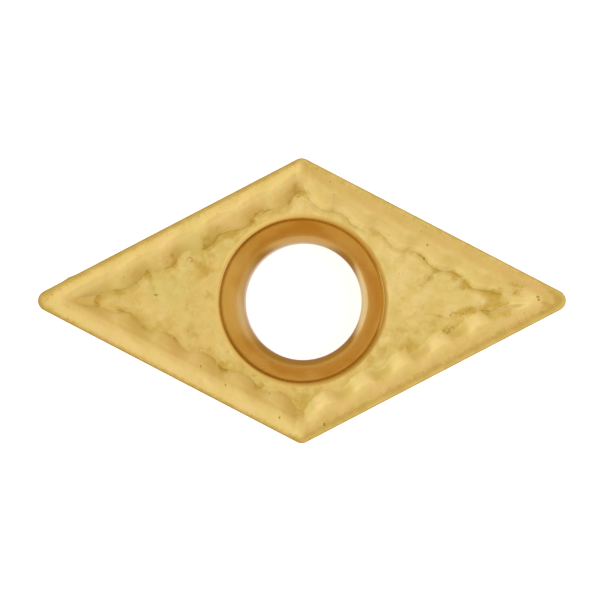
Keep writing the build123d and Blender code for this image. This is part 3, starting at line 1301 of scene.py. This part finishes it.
def coating(finish, sizes):
    """The gold coating with its drifts, stains, browned edge, pits and the redder hole, with painted
    highlights and painted shade on its walls, along the crease and in the hole.
    """
    material = bpy.data.materials.new("gold_coating")
    material.use_nodes = True
    tree = material.node_tree
    shader = tree.nodes["Principled BSDF"]
    at = Surface(tree, sizes)
    olive = (*finish.olive, 1)
    dark_stain_and_shade = (*finish.stain_and_shade, 1)

    stains = soft_stains(tree, at)
    shade, line = crease(tree, at)
    land, outer_line = worn_land(tree, at)
    lines = larger(tree, line, product(tree, flecks(tree, at), 0.85))
    hole_colour, hole_tint = hole_coating(tree, at, finish)
    pits = pitted(tree, at)

    colour = drifting_gold(tree, at, finish)
    colour = blend(tree, product(tree, stains, STAINS_SHOW), colour, olive)
    # painted shade along the lip
    colour = blend(tree, product(tree, shade, SHADE_SHOWS), colour, olive)
    colour = blend(tree, product(tree, land, LAND_SHOWS), colour, (*finish.edge_brown_and_shade, 1))
    colour = blend(tree, product(tree, outer_line, OUTER_LINE_SHOWS), colour, dark_stain_and_shade)
    # flecks, and the line of painted shade along the lip
    colour = blend(tree, product(tree, lines, LINES_SHOW), colour, dark_stain_and_shade)
    colour = blend(tree, at.in_hole, colour, hole_colour)
    # painted shade at the seat
    colour = blend(tree, product(tree, seat_line(tree, at), SEAT_LINE_SHOWS), colour, dark_stain_and_shade)
    colour = blend(tree, product(tree, pits, PITS_SHOW), colour, dark_stain_and_shade)
    feed(tree, shader, Base_Color=colour, Metallic=1.0)
    feed(tree, shader, Specular_Tint=blend(tree, at.in_hole, (1, 1, 1, 1), hole_tint))

    # the fine clouds add 0.04 to the roughness on average
    roughness = add_sum(
        tree,
        (stains, 0.06),
        (land, 0.10),
        (lines, 0.2),
        (pits, 0.3),
        (at.fine, 0.08),
        (1.0, finish.roughness - 0.04),
    )
    feed(tree, shader, Roughness=roughness)

    bump = add_node(tree, "Bump")
    height = add_sum(tree, (at.grain, 0.25), (at.fine, 1.0), (pits, -1.5), (lines, -0.8))
    height = product(tree, height, less(tree, at.in_hole, SMOOTH_IN_HOLE))
    feed(tree, bump, Strength=1.0, Distance=BUMP_HEIGHT, Height=height)
    feed(tree, shader, Normal=bump.outputs["Normal"])
    return material


class INSERT_OT_body(bpy.types.Operator):
    """Model the insert with its chip groove and screw hole, and give it its coating"""

    bl_idname = "insert.body"
    bl_label = "Model Insert"

    def execute(self, context):
        sizes = context.scene.insert_sizes
        piece = model_body(sizes)
        mark_surface(piece, sizes)
        uneven_surface(piece)
        finish_shading(piece)
        piece.data.materials.append(coating(context.scene.insert_finish, sizes))
        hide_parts(NODE)
        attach(piece, "root")
        return {"FINISHED"}


def studio_world(studio):
    """Soft surroundings: darker towards the horizon, warmer and dimmer on the far side from the window,
    and plain white to the camera."""
    world = bpy.data.worlds.new("studio_surroundings")
    bpy.context.scene.world = world
    world.use_nodes = True
    tree = world.node_tree
    tree.nodes.clear()
    direction = add_node(tree, "TexCoord").outputs["Generated"]

    axes = feed(tree, add_node(tree, "SeparateXYZ"), Vector=direction)
    height = add_node(tree, "MapRange", interpolation_type="SMOOTHSTEP")
    feed(tree, height, Value=axes.outputs["Z"], From_Min=0.0, From_Max=studio.sky_turn)
    feed(tree, height, To_Min=studio.sky_low, To_Max=studio.sky_high)

    bright_side = (math.cos(studio.window_side), math.sin(studio.window_side), 0)
    side = feed(tree, add_node(tree, "VectorMath", operation="DOT_PRODUCT"), n0=direction, n1=bright_side)
    tint = add_node(tree, "MapRange", data_type="FLOAT_VECTOR")
    low, high = TINT_TURN
    feed(tree, tint, n6=side.outputs["Value"], n7=(low, low, low), n8=(high, high, high))
    feed(tree, tint, n9=studio.far_side, n10=studio.window_light)

    sky = add_node(tree, "Background")
    feed(tree, sky, Color=tint.outputs["Vector"], Strength=height.outputs["Result"])
    white = feed(tree, add_node(tree, "Background"), Color=(1, 1, 1, 1), Strength=1.0)
    ray = add_node(tree, "LightPath")
    mix = feed(tree, add_node(tree, "MixShader"), n0=ray.outputs["Is Camera Ray"])
    feed(tree, mix, n1=sky.outputs["Background"], n2=white.outputs["Background"])
    feed(tree, add_node(tree, "OutputWorld"), Surface=mix.outputs["Shader"])


def white_floor():
    """A white floor just under the insert, lifted to plain white where the insert doesn't shade it."""
    bpy.ops.object.select_all(action="DESELECT")
    bpy.ops.mesh.primitive_plane_add(size=FLOOR_SIZE, location=(0, 0, -FLOOR_GAP))
    floor = bpy.context.object
    floor.name = "studio_floor"
    material = bpy.data.materials.new("white_paper")
    material.use_nodes = True
    tree = material.node_tree
    paper = tree.nodes["Principled BSDF"]
    feed(tree, paper, Base_Color=PAPER, Roughness=1.0, Specular_IOR_Level=0.0)
    ray = add_node(tree, "LightPath")
    lift = add_sum(tree, *((ray.outputs[seen_by], strength) for seen_by, strength in PAPER_LIFT))
    glow = feed(tree, add_node(tree, "Emission"), Strength=lift)
    lifted = add_node(tree, "AddShader")
    feed(tree, lifted, n0=paper.outputs["BSDF"], n1=glow.outputs["Emission"])
    feed(tree, tree.nodes["Material Output"], Surface=lifted.outputs["Shader"])
    floor.data.materials.append(material)


def studio_camera(studio):
    """A long lens above the insert, leaning a little from straight down."""
    data = bpy.data.cameras.new("camera")
    data.lens = studio.lens
    data.sensor_width = SENSOR
    data.clip_start = CLIP_START
    data.clip_end = CLIP_END
    camera = bpy.data.objects.new("camera", data)
    bpy.context.scene.collection.objects.link(camera)
    distance = studio.view_width * data.lens / data.sensor_width
    target = Vector((*VIEW_CENTRE, CAD_HIGH.z))
    camera.rotation_euler = (studio.lean_y, studio.lean_x, 0)
    camera.location = target + camera.rotation_euler.to_matrix() @ Vector((0, 0, distance))
    bpy.context.scene.camera = camera


def soft_box(name, location, size, strength):
    """A square lamp that faces the insert."""
    data = bpy.data.lights.new(name, "AREA")
    data.size = size
    data.energy = strength
    lamp = bpy.data.objects.new(name, data)
    lamp.location = location
    lamp.rotation_euler = Vector(location).to_track_quat("Z", "Y").to_euler()
    bpy.context.scene.collection.objects.link(lamp)


class INSERT_OT_studio(bpy.types.Operator):
    """Set up the floor, the light and the camera"""

    bl_idname = "insert.studio"
    bl_label = "Set Up Studio"

    def execute(self, context):
        studio = context.scene.insert_studio
        white_floor()
        studio_world(studio)
        studio_camera(studio)
        soft_box("soft_box", SOFT_BOX_PLACE, SOFT_BOX_SIZE, SOFT_BOX_POWER)
        context.scene.view_settings.view_transform = "Standard"
        return {"FINISHED"}


class VIEW3D_PT_insert(bpy.types.Panel):
    """Lists the insert's operators and sizes"""

    bl_label = "Insert"
    bl_space_type = "VIEW_3D"
    bl_region_type = "UI"
    bl_category = "Insert"

    def draw(self, context):
        scene = context.scene
        layout = self.layout
        layout.operator(INSERT_OT_body.bl_idname)
        for group in (scene.insert_sizes, scene.insert_finish):
            for name in group.__annotations__:
                layout.prop(group, name)
        layout.operator(INSERT_OT_studio.bl_idname)
        for name in scene.insert_studio.__annotations__:
            layout.prop(scene.insert_studio, name)


CLASSES = (InsertSizes, InsertFinish, InsertStudio, INSERT_OT_body, INSERT_OT_studio, VIEW3D_PT_insert)


def register():
    for cls in CLASSES:
        bpy.utils.register_class(cls)
    bpy.types.Scene.insert_sizes = bpy.props.PointerProperty(type=InsertSizes)
    bpy.types.Scene.insert_finish = bpy.props.PointerProperty(type=InsertFinish)
    bpy.types.Scene.insert_studio = bpy.props.PointerProperty(type=InsertStudio)


def unregister():
    del bpy.types.Scene.insert_studio
    del bpy.types.Scene.insert_finish
    del bpy.types.Scene.insert_sizes
    for cls in reversed(CLASSES):
        bpy.utils.unregister_class(cls)


def main():
    register()
    bpy.ops.insert.studio()
    bpy.ops.insert.body()


if __name__ == "__main__":
    main()
